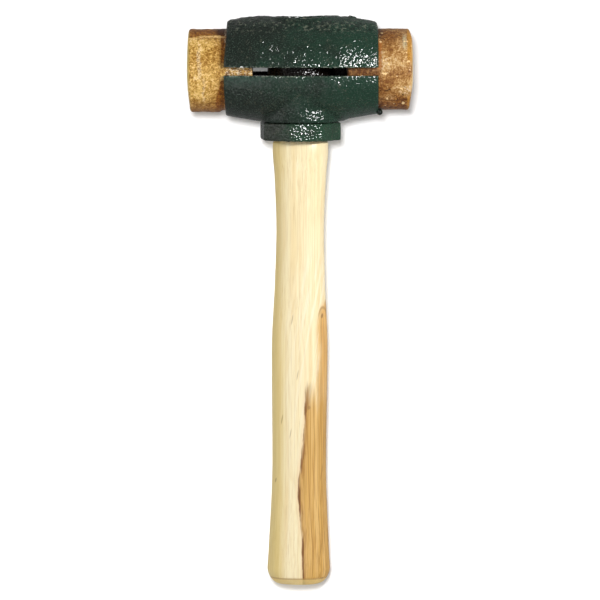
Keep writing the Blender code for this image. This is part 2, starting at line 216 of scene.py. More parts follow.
def loft(name, rings, fan=False):
    """A closed skin over equal rings of points. fan closes each end with triangles to its middle."""
    count = len(rings[0])
    points = [p for ring in rings for p in ring]
    faces = []
    for row in range(len(rings) - 1):
        low = row * count
        for i in range(count):
            j = (i + 1) % count
            faces.append((low + i, low + j, low + count + j, low + count + i))
    for low in (0, len(rings) * count - count):
        if fan:
            middle = np.mean(np.array(points[low : low + count]), axis=0)
            points.append(tuple(middle))
            last = len(points) - 1
            faces += [(low + i, low + (i + 1) % count, last) for i in range(count)]
        else:
            faces.append(tuple(range(low, low + count)))
    return new_object(name, points, faces)


def turns(count=96):
    """Equal steps round a circle, as (sine, cosine)."""
    angles = (2 * math.pi * i / count for i in range(count))
    return [(math.sin(t), math.cos(t)) for t in angles]


def around_y(radius, y):
    return [(radius * s, y, radius * c) for s, c in turns()]


def around_x(radius, x):
    return [(x, radius * s, radius * c) for s, c in turns()]


def oval(half_x, half_z, y, count=96, squareness=2.0):
    """A ring round Y: an ellipse at squareness 2, and nearer to a rectangle above that."""

    def reach(half, share):
        return half * math.copysign(abs(share) ** (2 / squareness), share)

    return [(reach(half_x, s), y, reach(half_z, c)) for s, c in turns(count)]


def block(name, along, heights, low_half, high_half, across=False, shift=0.0):
    """A block tapered in height. It lies along the barrel, or across it when across is true."""
    rings = []
    for y, half in ((heights[0], low_half), (heights[1], high_half)):
        low, high = along
        flat = [(low, -half), (high, -half), (high, half), (low, half)]
        if across:
            flat = [(b, a) for a, b in flat]
        rings.append([(a + shift, y, b) for a, b in flat])
    return loft(name, rings)


def apply_modifiers(obj):
    evaluated = obj.evaluated_get(bpy.context.evaluated_depsgraph_get())
    mesh = bpy.data.meshes.new_from_object(evaluated)
    obj.modifiers.clear()
    obj.data = mesh


def combine(target, other, operation):
    """Add or cut another solid, keep the result as the target's own mesh and drop the other."""
    modifier = target.modifiers.new(operation, "BOOLEAN")
    modifier.operation = operation
    modifier.solver = "EXACT"
    modifier.object = other
    apply_modifiers(target)
    bpy.data.objects.remove(other, do_unlink=True)


def remesh(obj, voxel, smooth_times):
    """Turn a boolean solid into an even skin with softened edges, as a casting has."""
    modifier = obj.modifiers.new("skin", "REMESH")
    modifier.mode = "VOXEL"
    modifier.voxel_size = voxel * MM
    modifier.use_smooth_shade = True
    soften = obj.modifiers.new("soften", "SMOOTH")
    soften.factor = 0.5
    soften.iterations = smooth_times
    apply_modifiers(obj)


def bevelled(obj, width, segments):
    modifier = obj.modifiers.new("edge", "BEVEL")
    modifier.width = width * MM
    modifier.segments = segments
    modifier.limit_method = "ANGLE"
    modifier.angle_limit = math.radians(30)
    apply_modifiers(obj)


def smooth_by_angle(obj, degrees):
    obj.data.shade_smooth()
    obj.data.set_sharp_from_angle(angle=math.radians(degrees))


def read(items, key):
    values = np.zeros(len(items) * 3)
    items.foreach_get(key, values)
    return values.reshape(-1, 3)


def coordinates(obj):
    """The mesh's points in the tool's frame, in millimetres, as an array."""
    return read(obj.data.vertices, "co") / MM


def set_coordinates(obj, points):
    obj.data.vertices.foreach_set("co", (points * MM).ravel())
    obj.data.update()


def normals(obj):
    return read(obj.data.vertex_normals, "vector")


def swell(obj, points, height):
    """Give the mesh these points, each moved out along the old mesh's normal by its height."""
    set_coordinates(obj, points + normals(obj) * height[:, None])


def smoothstep(values, low, high):
    t = np.clip((values - low) / (high - low), 0.0, 1.0)
    return t * t * (3 - 2 * t)


def lumps(points, size, seed):
    """Smooth noise from -1 to 1 at each point. size is the lumps' size, in millimetres."""
    shift = Vector((seed * 17.3, seed * -9.1, seed * 5.7))
    return np.array([noise.noise(Vector(p) / size + shift) for p in points])


def skin_height(points, layers, seed):
    """Layers of (size, height) noise, added up, in millimetres."""
    return sum(high * lumps(points, size, seed + k) for k, (size, high) in enumerate(layers))


def place(obj, body, slot, *nodes):
    """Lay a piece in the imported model, hang it on its body and hide the nodes that it stands for."""
    obj.data.transform(TOOL)
    obj.matrix_world = Matrix.Identity(4)
    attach(obj, body)
    if nodes:
        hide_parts(*nodes)
    return obj


# ---------------------------------------------------------------- castings

def barrel_radius(x, crown):
    """The casting's outer radius: level in the middle, then tapered, with a soft change between."""
    slope = math.tan(math.radians(TAPER_DEG))

    def drop(distance):
        past = distance - PLATEAU_HALF
        return 0.5 * slope * (past + math.hypot(past, TAPER_SOFT))

    return crown - drop(abs(x)) + drop(0.0)


def half_profile(crown, way):
    end = BARREL_END[way]
    inner = end - END_ROUND
    end_r = barrel_radius(inner, crown)
    lip = SEAT_R + MOUTH_WALL
    half = [(x, barrel_radius(x, crown)) for x in np.linspace(0.0, inner - 0.5, 30)]
    for k in range(1, 6):
        turn = 0.5 * math.pi * k / 5
        half.append((inner + END_ROUND * math.sin(turn), lip + (end_r - lip) * math.cos(turn) ** 0.8))
    return [(way * x, r) for x, r in half]


def half_barrel(name, crown, side):
    profile = half_profile(crown, -1)[:0:-1] + half_profile(crown, 1)
    rings = []
    for x, r in profile:
        first = math.asin(SPLIT_HALF / r)
        arc = np.linspace(first, math.pi - first, 90)
        rings.append([(x, side * r * math.sin(t), r * math.cos(t)) for t in arc])
    return loft(name, rings)


def bore():
    """The space inside the barrel: a seat for each face and a narrower middle between ledges."""
    profile = [(FAR, SEAT_R), (LEDGE_X, SEAT_R), (LEDGE_X, MIDDLE_BORE_R)]
    rings = [around_x(r, -x) for x, r in profile]
    rings += [around_x(r, x) for x, r in reversed(profile)]
    return loft("bore", rings)


def eye_half(y):
    """Half width and half depth of the eye at a height: it opens towards its top."""
    t = (y - STEM_END) / (PAD_TOP - STEM_END)
    return [low + (high - low) * t for low, high in zip(EYE_LOW, EYE_HIGH)]


def eye():
    return loft("eye", [oval(*eye_half(y), y) for y in (STEM_END - 8.0, PAD_TOP + 8.0)])


def make_upper_jaw():
    jaw = half_barrel("upper_jaw_casting", UPPER_R, 1)
    rise = [high - low for low, high in zip(PAD_FOOT_HALF, PAD_HALF)]
    above = [half + 0.3 * step for half, step in zip(PAD_HALF, rise)]
    above_y = PAD_TOP + 0.3 * (PAD_TOP - PAD_FOOT)
    combine(jaw, loft("pad", [oval(*PAD_FOOT_HALF, PAD_FOOT), oval(*above, above_y)]), "UNION")
    combine(jaw, loft("level", [oval(*PAD_CUT_HALF, y) for y in (PAD_TOP, FAR)]), "DIFFERENCE")
    combine(jaw, bore(), "DIFFERENCE")
    combine(jaw, block("web", WEB_X, WEB_Y, WEB_HALF, WEB_HALF), "UNION")
    neck = loft("neck", [around_y(STEM_R, y) for y in (STEM_SHOULDER, STEM_TOP)])
    combine(jaw, neck, "UNION")
    combine(jaw, eye(), "DIFFERENCE")
    remesh(jaw, CASTING_VOXEL, 3)

    points = coordinates(jaw)
    x, y, z = points.T.copy()
    # the left end leans in towards the top, and a little of the sprue is left on the crown
    points[:, 0] += 1.9 * smoothstep(-x, 34.0, 47.0) * smoothstep(y, 3.0, 28.0)
    points[:, 0] -= 0.7 * smoothstep(x, 40.0, 48.0) * smoothstep(y, 22.0, 29.0)
    places, extra = zip(*CROWN_FULLNESS)
    points[:, 1] += np.interp(x, places, extra) * smoothstep(y, 10.0, 29.0)
    sprue = np.hypot((x - 32.3) / 2.5, z / 3.2)
    points[:, 1] += 0.9 * (1 - smoothstep(sprue, 0.7, 1.2)) * (y > 26.0)
    # the skin is rougher in a band along the crown
    rough_band = smoothstep(y, 21.0, 25.5) * (1 - smoothstep(np.abs(z), 22.0, 27.0))
    height = skin_height(points, CASTING_SKIN, 3) + rough_band * 0.34 * lumps(points, 2.3, 8)
    swell(jaw, points, height)
    return place(jaw, "stock", "upper_jaw", "upper_jaw")


def make_lower_jaw():
    jaw = half_barrel("lower_jaw_casting", LOWER_R, -1)
    profile = [(BOSS_R - BOSS_EDGE, BOSS_END - 2.0), (BOSS_R - BOSS_EDGE, BOSS_END)]
    profile += [(BOSS_R, BOSS_END + BOSS_EDGE), (BOSS_R, BOSS_FLARE_Y - BOSS_FLARE)]
    for k in range(1, 7):
        t = k / 6
        profile.append((BOSS_R + (BOSS_FLARE_R - BOSS_R) * t * t, BOSS_FLARE_Y - BOSS_FLARE * (1 - t)))
    profile.append((BOSS_FLARE_R, BOSS_FLARE_Y + 5.0))
    combine(jaw, loft("boss", [around_y(r, y) for r, y in profile]), "UNION")
    combine(jaw, bore(), "DIFFERENCE")
    combine(jaw, loft("hole", [around_y(STEM_HOLE_R, -FAR), around_y(STEM_HOLE_R, 0.0)]), "DIFFERENCE")
    combine(jaw, block("below", (-FAR, FAR), (-FAR, BOSS_END), FAR, FAR), "DIFFERENCE")
    remesh(jaw, CASTING_VOXEL, 3)

    points = coordinates(jaw)
    x, y = points.T[:2].copy()
    # the right end is a little thinner underneath, and the left end leans in a little
    points[:, 1] += 1.0 * smoothstep(x, 25.5, 31.0) * smoothstep(-y, 20.0, 31.0)
    points[:, 0] += 1.0 * smoothstep(-x, 40.0, 47.0) * smoothstep(-y, 5.0, 28.0)
    height = skin_height(points, CASTING_SKIN, 11)
    swell(jaw, points, height)
    return place(jaw, "lower_jaw", "lower_jaw", "lower_jaw")


# ---------------------------------------------------------------- thread and nut

def thread_radius(part, minor, major):
    """The thread's radius at a share of its pitch: sloping flanks between a rounded root and crest."""
    flat = 0.147
    if part < flat:
        high = 0.0
    elif part < 0.5:
        high = (part - flat) / (0.5 - flat)
    elif part < 0.5 + flat:
        high = 1.0
    else:
        high = 1 - (part - 0.5 - flat) / (0.5 - flat)
    high = high * high * (3 - 2 * high) * 0.35 + high * 0.65
    return minor + (major - minor) * high


def threaded_rod(name, low, high, clear, tapered, count=96, step=0.2):
    """A threaded rod as a stack of rings: each ring's radius follows the thread's turn."""
    minor = THREAD_MINOR_R + clear
    major = THREAD_MAJOR_R + clear
    rings = []
    for y in np.linspace(low, high, int((high - low) / step) + 1):
        ring = []
        for i, (s, c) in enumerate(turns(count)):
            part = ((y - THREAD_START) / PITCH - i / count) % 1.0
            radius = thread_radius(part, minor, major)
            if tapered:
                radius = min(radius, minor - 0.2 + (y - low), minor - 0.3 + max(high - y, 0.3))
            ring.append((radius * s, y, radius * c))
        rings.append(ring)
    return loft(name, rings)


def make_thread():
    rod = threaded_rod("stem_thread", STEM_END, STEM_SHOULDER + 0.4, 0.0, True)
    combine(rod, eye(), "DIFFERENCE")
    smooth_by_angle(rod, 50)
    return place(rod, "stock", "upper_jaw")


def make_nut():
    corner = NUT_FLAT_HALF / math.cos(math.pi / 8)
    rows = []
    for t in np.linspace(0, math.pi / 2, 5):
        rows.append((NUT_EDGE * (1 - math.sin(t)), NUT_END + NUT_EDGE * (1 - math.cos(t))))
    rows += [(shrink, NUT_TOP + NUT_END - y) for shrink, y in reversed(rows)]
    rings = []
    for shrink, y in rows:
        ring = []
        for n in range(8):
            here = math.radians(NUT_TURN_DEG) + n * math.pi / 4
            ring.append(((corner - shrink) * math.sin(here), y, (corner - shrink) * math.cos(here)))
        rings.append(ring)
    nut = loft("octagon_nut", rings)
    inside = threaded_rod("inside", NUT_END - 2 * PITCH, NUT_TOP + 2 * PITCH, THREAD_CLEAR, False)
    combine(nut, inside, "DIFFERENCE")
    wide = THREAD_MAJOR_R + THREAD_CLEAR + 0.3
    slim = THREAD_MINOR_R + THREAD_CLEAR - 0.2
    for y, away in ((NUT_END, -1), (NUT_TOP, 1)):
        sink = [around_y(wide + 1.0, y + away), around_y(slim, y - away * (wide - slim))]
        combine(nut, loft("sink", sink), "DIFFERENCE")
    remesh(nut, NUT_VOXEL, 3)
    points = coordinates(nut)
    outside = np.hypot(points[:, 0], points[:, 2]) > THREAD_MAJOR_R + 1.3
    height = outside * skin_height(points, NUT_SKIN, 23)
    swell(nut, points, height)
    return place(nut, "clamp_nut", "clamp_nut", "clamp_nut")


# ---------------------------------------------------------------- rawhide

WRAP = 3.1  # thickness of one turn of the rolled hide
SEAM_TURN_DEG = {"left": 54.0, "right": 118.0}
FACE_SEED = {"left": 31, "right": 47}
OUTLINE_SHIFT = {"left": -0.7, "right": 0.15}  # the rolls aren't quite true to their seats
OUTLINE_SCALE = {"left": 1.014, "right": 0.992}
# how far the striking end falls back, high and low
END_FALL = {"left": (0.1, 1.0), "right": (1.7, 1.5)}
INNER_EDGE = 1.2
OUTER_EDGE = 1.7
SEAM_LIFT = 0.3
CROWN = 0.8


def face_profile():
    """The roll's outline from the middle of its inner end to the middle of its striking end."""
    shoulder = FACE_LENGTH - 1.2
    profile = [(0.0, r) for r in np.linspace(0.25, FACE_R - INNER_EDGE, 46)]
    for t in np.linspace(0, math.pi / 2, 6)[1:]:
        profile.append((INNER_EDGE * (1 - math.cos(t)), FACE_R - INNER_EDGE * (1 - math.sin(t))))
    profile += [(x, FACE_R) for x in np.linspace(1.4, shoulder - OUTER_EDGE - 0.2, 84)]
    for t in np.linspace(0, math.pi / 2, 9)[1:]:
        across = FACE_R - OUTER_EDGE * (1 - math.cos(t))
        profile.append((shoulder - OUTER_EDGE * (1 - math.sin(t)), across))
    for r in np.linspace(FACE_R - OUTER_EDGE - 0.4, 0.25, 60):
        crown = CROWN * (1 - (max(r - 9.0, 0.0) / (FACE_R - OUTER_EDGE - 9.0)) ** 2)
        profile.append((shoulder + crown, r))
    return profile


def make_face(side):
    """A rolled rawhide cylinder: the roll's spiral shows on its ends, and its last edge on its side."""
    inner = FACE_INNER_X[side]
    out = math.copysign(1.0, inner)
    count = 300
    seam = math.radians(SEAM_TURN_DEG[side])
    rings = []
    for x, r in face_profile():
        ring = []
        for i in range(count):
            turn = 2 * math.pi * i / count
            past = ((turn - seam) / (2 * math.pi)) % 1.0
            part = (r / WRAP - past) % 1.0
            groove = math.exp(-((min(part, 1 - part) * WRAP / 0.28) ** 2))
            ring_x, ring_r = x, r
            if x < 0.5:
                ring_x = x + 0.35 * groove * (r < FACE_R - INNER_EDGE - 0.1)
            elif x > FACE_LENGTH - 1.3:
                ring_x = x - 0.42 * groove * (r < FACE_R - OUTER_EDGE - 0.3)
            if r > FACE_R - OUTER_EDGE:
                # the skived last edge of the hide, which runs a little askew
                edge = past + 0.0016 * (x - 0.5 * FACE_LENGTH) / WRAP
                ring_r = r - SEAM_LIFT * (1 - float(smoothstep(edge % 1.0, 0.0, 0.012)))
            ring.append((inner + out * ring_x, ring_r * math.sin(turn), ring_r * math.cos(turn)))
        rings.append(ring)
    face = loft("rawhide_" + side, rings, fan=True)

    points = coordinates(face)
    outward = normals(face)
    seed = FACE_SEED[side]
    radius = np.hypot(points[:, 1], points[:, 2])
    turn = np.arctan2(points[:, 1], points[:, 2])
    on_side = smoothstep(radius, FACE_R - 2.5, FACE_R - 1.0)
    free = smoothstep(np.abs(points[:, 0]), BARREL_END[int(out)] + 0.3, BARREL_END[int(out)] + 3.0)
    # undulations that run round the roll, and a finer pebble in the hide
    stretched = np.stack([points[:, 0] / 2.6, 2.5 * np.cos(turn), 2.5 * np.sin(turn)], axis=1)
    waves = np.array([noise.noise(Vector(p) + Vector((seed, 0, 0))) for p in stretched])
    height = on_side * (0.16 * waves + 0.20 * lumps(points, 11.0, seed + 2))
    height = height + 0.07 * lumps(points, 1.8, seed + 1)
    height += 0.07 * lumps(points, 1.0, seed + 5) * on_side
    height = height * (0.3 + 0.7 * free) - 0.10 * on_side * (1 - free)
    points = points + outward * height[:, None]
    points[:, 1] *= 1 + (OUTLINE_SCALE[side] - 1) * free
    points[:, 1] += OUTLINE_SHIFT[side] * free
    # the striking end isn't quite square: it falls back towards the butt of the tool
    end = smoothstep(np.abs(points[:, 0]), 58.0, 70.0)
    high, low = END_FALL[side]
    fall = high * smoothstep(points[:, 1], 18.5, 27.0) + low * smoothstep(-points[:, 1], 4.0, 27.0)
    points[:, 0] -= out * end * fall
    set_coordinates(face, points)
    smooth_by_angle(face, 60)
    name = side + "_face"
    return place(face, name, name, name)


# ---------------------------------------------------------------- handle and wedges

def handle_width(depth):
    """Half width at a distance below the barrel's axis: a smooth curve through the stations."""
    d = np.array([s[0] for s in HANDLE_STATIONS])
    w = np.array([s[1] for s in HANDLE_STATIONS])
    step = np.diff(d)
    rise = np.diff(w) / step
    slope = np.zeros(len(d))
    for i in range(1, len(d) - 1):
        if rise[i - 1] * rise[i] > 0:
            slope[i] = 2 * rise[i - 1] * rise[i] / (rise[i - 1] + rise[i])
    slope[-1] = rise[-1]
    depth = min(max(depth, d[0]), d[-1])
    i = min(int(np.searchsorted(d, depth, side="right")) - 1, len(d) - 2)
    t = (depth - d[i]) / step[i]
    start = w[i] * (1 + 2 * t) * (1 - t) ** 2 + slope[i] * step[i] * t * (1 - t) ** 2
    return start + w[i + 1] * t * t * (3 - 2 * t) + slope[i + 1] * step[i] * t * t * (t - 1)


def grip_ring(half_x, half_z, depth):
    way_down = (depth - HANDLE_TOP) / (HANDLE_END - HANDLE_TOP)
    shift = HANDLE_LEAN * max(way_down, 0.0)
    ring = oval(half_x, half_z, -depth, 144, HANDLE_SQUARENESS)
    return [(x + shift, y, z) for x, y, z in ring]


def make_handle():
    rings = []
    start, widest = HANDLE_STATIONS[-1]
    full_z = widest * HANDLE_FLATNESS
    for t in BUTT_STEPS:
        half = HANDLE_END_HALF + (widest - HANDLE_END_HALF) * math.sqrt(max(1 - t**1.6, 0.0))
        past = max(0.0, (t - 0.55) / 0.45)
        half_z = full_z - 3.9 * past - 0.25 * max(0.0, 1 - abs(t - 0.55) / 0.06)
        if t == 1.0:
            half -= 0.5
            half_z -= 0.5
        rings.append(grip_ring(half, half_z, start + (HANDLE_END - start) * t))
    for depth in np.arange(start - 1.5, HANDLE_STATIONS[0][0] + 0.5, -1.8):
        half = handle_width(depth)
        rings.append(grip_ring(half, half * HANDLE_FLATNESS, depth))
    top_half = handle_width(HANDLE_STATIONS[0][0])
    for t in (0.8, 0.55, 0.35, 0.2, 0.08, 0.0):
        half = top_half - 1.4 * (1 - t) ** 2
        rings.append(grip_ring(half, half * HANDLE_FLATNESS, HANDLE_TOP + 2.5 * t))
    for y in (0.02 - HANDLE_TOP, -30.0, -15.0, 0.0, 15.0, 25.0, 30.0, 30.7, 31.15, TENON_TOP):
        trim = TENON_GAP + 1.1 * float(smoothstep(y, TENON_TOP - 1.5, TENON_TOP)) ** 2
        half_x, half_z = eye_half(y)
        rings.append(oval(half_x - trim, half_z - trim, y, 144))
    handle = loft("hickory_handle", rings)

    reach = 20.0
    kerf = wedge_slot("kerf", reach, WOOD_WEDGE_HALF, (WOOD_WEDGE_TIP, WOOD_WEDGE_TOP), 0.3, 0.1)
    combine(handle, kerf, "DIFFERENCE")
    low = WOOD_WEDGE_HALF[0]
    combine(handle, block("saw", (-reach, reach), (-4.0, WOOD_WEDGE_TIP + 1.0), low, low), "DIFFERENCE")
    cut_steel_slots(handle)
    points = coordinates(handle)
    swing = 0.10 * lumps(points * np.array([1.0, 0.12, 1.0]), 7.0, 61)
    swing[points[:, 1] > -HANDLE_TOP - 0.6] = 0.0
    swell(handle, points, swing)
    smooth_by_angle(handle, 34)
    return place(handle, "stock", "handle", "handle")


def wedge_slot(name, reach, half, heights, deeper, slack, across=False, x=0.0):
    """A cutter for a wedge's slot: the wedge with slack on each side, deeper, and out past its top."""
    low, high = half
    tip, top = heights
    past = 3.0
    slope = (high - low) / (top - tip)
    heights = (tip - deeper, top + past)
    return block(name, (-reach, reach), heights, low + slack, high + slack + past * slope, across, x)


def cut_steel_slots(obj):
    heights = (STEEL_WEDGE_TIP, STEEL_WEDGE_TOP)
    for x in (-STEEL_WEDGE_X, STEEL_WEDGE_X):
        slot = wedge_slot("slot", STEEL_WEDGE_SPAN + 0.1, STEEL_WEDGE_HALF, heights, 0.1, 0.08, True, x)
        combine(obj, slot, "DIFFERENCE")


def make_wedges():
    low, high = WOOD_WEDGE_HALF
    reach = WOOD_WEDGE_REACH
    wood = block("oak_wedge", (-reach, reach), (WOOD_WEDGE_TIP, WOOD_WEDGE_TOP), low, high)
    cut_steel_slots(wood)
    bevelled(wood, 0.12, 2)
    smooth_by_angle(wood, 40)
    made = [place(wood, "stock", "wood_wedge", "wood_wedge")]
    low, high = STEEL_WEDGE_HALF
    heights = (STEEL_WEDGE_TIP, STEEL_WEDGE_TOP)
    span = (-STEEL_WEDGE_SPAN, STEEL_WEDGE_SPAN)
    for side, x in (("left", -STEEL_WEDGE_X), ("right", STEEL_WEDGE_X)):
        steel = block("iron_wedge_" + side, span, heights, low, high, True, x)
        bevelled(steel, 0.22, 3)
        rows = steel.modifiers.new("rows", "SUBSURF")
        rows.subdivision_type = "SIMPLE"
        rows.levels = rows.render_levels = 3
        apply_modifiers(steel)
        points = coordinates(steel)
        hammered = smoothstep(points[:, 1], STEEL_WEDGE_TOP - 1.4, STEEL_WEDGE_TOP)
        points[:, 1] -= 0.16 * hammered * (0.5 + 0.5 * lumps(points, 2.2, 71))
        set_coordinates(steel, points)
        smooth_by_angle(steel, 40)
        node = "steel_wedge_" + side
        made.append(place(steel, "stock", node, node))
    return made


def make_paint_bead():
    """A bead of enamel that ran off the lower jaw's right end and set there."""
    x, y, z = BEAD_CENTRE
    rings = []
    for k in range(1, 24):
        t = math.pi * k / 24
        flat = BEAD_R * math.sin(t)
        rise = BEAD_R * math.cos(t) * (1 + 0.25 * max(0.0, math.cos(t)) ** 2)
        steps = np.linspace(0, 2 * math.pi, 48, endpoint=False)
        rings.append([(x + flat * math.cos(u), y + rise, z + flat * math.sin(u)) for u in steps])
    bead = loft("enamel_bead", rings, fan=True)
    smooth_by_angle(bead, 60)
    return place(bead, "lower_jaw", "lower_jaw")


# ---------------------------------------------------------------- materials

class Nodes:
    """A short way to write a node tree: each call adds a node and returns its first output."""

    def __init__(self, name):
        self.material = bpy.data.materials.new(name)
        self.material.use_nodes = True
        self.tree = self.material.node_tree
        self.shader = self.tree.nodes["Principled BSDF"]
        # a point's place in the tool's frame, in metres
        back = TOOL.inverted()
        inputs = {
            "Vector": self.add("ShaderNodeTexCoord").outputs["Object"],
            "Location": back.translation,
            "Rotation": back.to_euler(),
        }
        self.here = self.add("ShaderNodeMapping", inputs).outputs[0]

    def add(self, kind, inputs=None, **settings):
        node = self.tree.nodes.new(kind)
        for key, value in settings.items():
            setattr(node, key, value)
        for key, value in (inputs or {}).items():
            self.feed(node.inputs[key], value)
        return node

    def feed(self, socket, value):
        if isinstance(value, bpy.types.NodeSocket):
            self.tree.links.new(value, socket)
        else:
            socket.default_value = value

    def stretch(self, scale, turn=(0, 0, 0), shift=(0, 0, 0)):
        inputs = {"Vector": self.here, "Scale": scale, "Rotation": turn, "Location": shift}
        return self.add("ShaderNodeMapping", inputs).outputs[0]

    def noise(self, vector, scale, detail=2.0, rough=0.5, warp=0.0):
        inputs = {"Vector": vector, "Scale": scale, "Detail": detail, "Roughness": rough}
        inputs["Distortion"] = warp
        return self.add("ShaderNodeTexNoise", inputs).outputs[0]

    def streaks(self, across, along, detail=2.0, rough=0.5, **placing):
        """Noise drawn out along the tool's Y axis."""
        return self.noise(self.stretch((across, along, across), **placing), 1.0, detail, rough)

    def domes(self, vector, scale):
        """Rounded pebbles side by side: 1 on top of each, falling away on all sides."""
        inputs = {"Vector": vector, "Scale": scale, "Smoothness": 0.25}
        away = self.add("ShaderNodeTexVoronoi", inputs, feature="SMOOTH_F1").outputs["Distance"]
        return self.minus(1.0, self.times(away, away))

    def math(self, operation, a, b=0.0, c=0.0):
        return self.add("ShaderNodeMath", {0: a, 1: b, 2: c}, operation=operation).outputs[0]

    def plus(self, *values):
        total = values[0]
        for value in values[1:]:
            total = self.math("ADD", total, value)
        return total

    def times(self, a, b):
        return self.math("MULTIPLY", a, b)

    def minus(self, a, b):
        return self.math("SUBTRACT", a, b)

    def most(self, a, b):
        return self.math("MAXIMUM", a, b)

    def ramp(self, value, stops):
        node = self.add("ShaderNodeValToRGB", {0: value})
        points = node.color_ramp.elements
        while len(points) < len(stops):
            points.new(0.5)
        for point, (at, colour) in zip(points, stops):
            point.position = at
            point.color = (*colour, 1.0)
        return node.outputs[0]

    def span(self, value, low, high, to_low=0.0, to_high=1.0):
        """Value carried smoothly from low..high to to_low..to_high."""
        node = self.add("ShaderNodeMapRange", {0: value, 1: low, 2: high, 3: to_low, 4: to_high})
        node.interpolation_type = "SMOOTHSTEP"
        return node.outputs[0]

    def fade(self, value, low, high):
        """Value carried smoothly from low..high to 1..0."""
        return self.span(value, low, high, 1.0, 0.0)

    def band(self, value, low, high, soft):
        """1 between low and high, fading to 0 over soft on each side."""
        return self.times(self.span(value, low - soft, low), self.fade(value, high, high + soft))

    def mix(self, share, a, b):
        node = self.add("ShaderNodeMix", data_type="RGBA")
        self.feed(node.inputs["Factor"], share)
        self.feed(node.inputs[6], (*a, 1.0) if isinstance(a, tuple) else a)
        self.feed(node.inputs[7], (*b, 1.0) if isinstance(b, tuple) else b)
        return node.outputs[2]

    def paint(self, colour, new, *shares):
        """Colour with new laid over it, by the product of the shares."""
        share, *others = shares
        for other in others:
            share = self.times(share, other)
        return self.mix(share, colour, new)

    def bump(self, height, distance, under=None):
        inputs = {"Height": height, "Distance": distance}
        if under is not None:
            inputs["Normal"] = under
        return self.add("ShaderNodeBump", inputs).outputs[0]

    def vector(self, x, y, z):
        return self.add("ShaderNodeCombineXYZ", {0: x, 1: y, 2: z}).outputs[0]

    def length(self, a, b):
        return self.math("SQRT", self.plus(self.times(a, a), self.times(b, b)))

    def axes(self):
        return self.add("ShaderNodeSeparateXYZ", {0: self.here}).outputs

    def finish(self, colour, roughness, normal=None, **constants):
        self.feed(self.shader.inputs["Base Color"], colour)
        self.feed(self.shader.inputs["Roughness"], roughness)
        if normal is not None:
            self.feed(self.shader.inputs["Normal"], normal)
        for key, value in constants.items():
            self.shader.inputs[key.replace("_", " ")].default_value = value
        return self.material


def enamel(name, seed, green, grey, bore_r=0.0):
    """Glossy enamel, brushed thickly over a sand-cast skin: green to the right, greyer to the left.

    Within bore_r of the barrel's axis the iron is bare and black.
    """
    n = Nodes(name)
    at = n.stretch((1, 1, 1), shift=(seed, -seed, seed))
    x, y, z = n.axes()
    wide = n.noise(at, 70, 3)
    cloud = n.noise(at, 230, 3, 0.6)
    fine = n.noise(at, 1300, 2)
    lean = n.plus(n.times(x, 9.0), n.times(wide, 1.1), n.times(cloud, 0.5))
    colour = n.mix(n.span(lean, 0.45, 1.15), grey, green)
    # pale specks laid into the enamel's colour: painted glints
    colour = n.paint(colour, (0.060, 0.090, 0.068), n.span(fine, 0.55, 0.68, 0.0, 0.60))
    worn = n.times(n.span(cloud, 0.54, 0.68), n.span(fine, 0.42, 0.60))
    colour = n.paint(colour, (0.085, 0.078, 0.058), worn, 0.4)
    # the band along the crown is rougher: pale and dull on its high spots, black between them
    crown = n.band(y, 0.0255, 0.0300, 0.0025)
    knobs = n.noise(at, 420, 2, 0.6)
    colour = n.paint(colour, (0.004, 0.007, 0.005), crown, n.span(knobs, 0.50, 0.36, 0.0, 0.6))
    colour = n.paint(colour, (0.12, 0.13, 0.095), crown, n.span(knobs, 0.54, 0.66, 0.0, 0.7))
    # painted sheen: a lighter green just below the split, strongest to the left
    veil = n.times(n.fade(y, 0.0, 0.001), n.span(x, -0.030, -0.006, 1.0, 0.3))
    veil = n.times(n.span(y, -0.0125, -0.0025), veil)
    colour = n.paint(colour, (0.042, 0.082, 0.062), veil, n.span(cloud, 0.35, 0.60, 0.25, 0.75))
    # pale worn paint along the split's edge, which also stands in for a painted highlight there
    edge = n.fade(n.math("ABSOLUTE", y), (SPLIT_HALF + 0.2) * MM, (SPLIT_HALF + 1.2) * MM)
    wear_and_painted_highlight = n.span(n.noise(at, 520, 2, 0.6), 0.46, 0.60, 0.0, 0.85)
    colour = n.paint(colour, (0.20, 0.23, 0.18), edge, wear_and_painted_highlight)
    # a painted glint: a small white spot on the front, just above the split, left of the middle
    painted_glint = n.length(n.plus(x, 0.0361), n.times(n.plus(y, -0.0027), 1.5))
    colour = n.paint(colour, (0.92, 0.93, 0.90), n.fade(painted_glint, 0.0009, 0.0012), n.span(z, 0.0, 0.002))
    grit = n.noise(at, 640, 1.5, 0.5, 0.4)
    pebble = n.times(n.domes(at, 700.0), n.span(cloud, 0.30, 0.65, 0.6, 1.4))
    normal = n.bump(pebble, 0.00022)
    normal = n.bump(grit, 0.00056, normal)
    rough = n.span(n.noise(at, 260, 2), 0.3, 0.7, 0.05, 0.11)
    if bore_r:
        axis = n.length(y, z)
        bare = n.fade(axis, (bore_r - 0.3) * MM, bore_r * MM)
        colour = n.mix(bare, colour, n.mix(fine, (0.0015, 0.0012, 0.001), (0.012, 0.008, 0.006)))
        rough = n.plus(rough, n.times(bare, 0.10))
    return n.finish(colour, rough, normal, Specular_IOR_Level=0.5)


def bare_thread(name):
    """Blackened, oiled iron on the stem's thread."""
    n = Nodes(name)
    soot = n.noise(n.here, 400, 4, 0.6)
    colour = n.ramp(soot, ((0.35, (0.012, 0.011, 0.010)), (0.7, (0.06, 0.052, 0.045))))
    rough = n.span(n.noise(n.here, 900, 3), 0.3, 0.7, 0.28, 0.5)
    return n.finish(colour, rough, n.bump(n.noise(n.here, 1500, 3), 0.00006), Metallic=0.85)


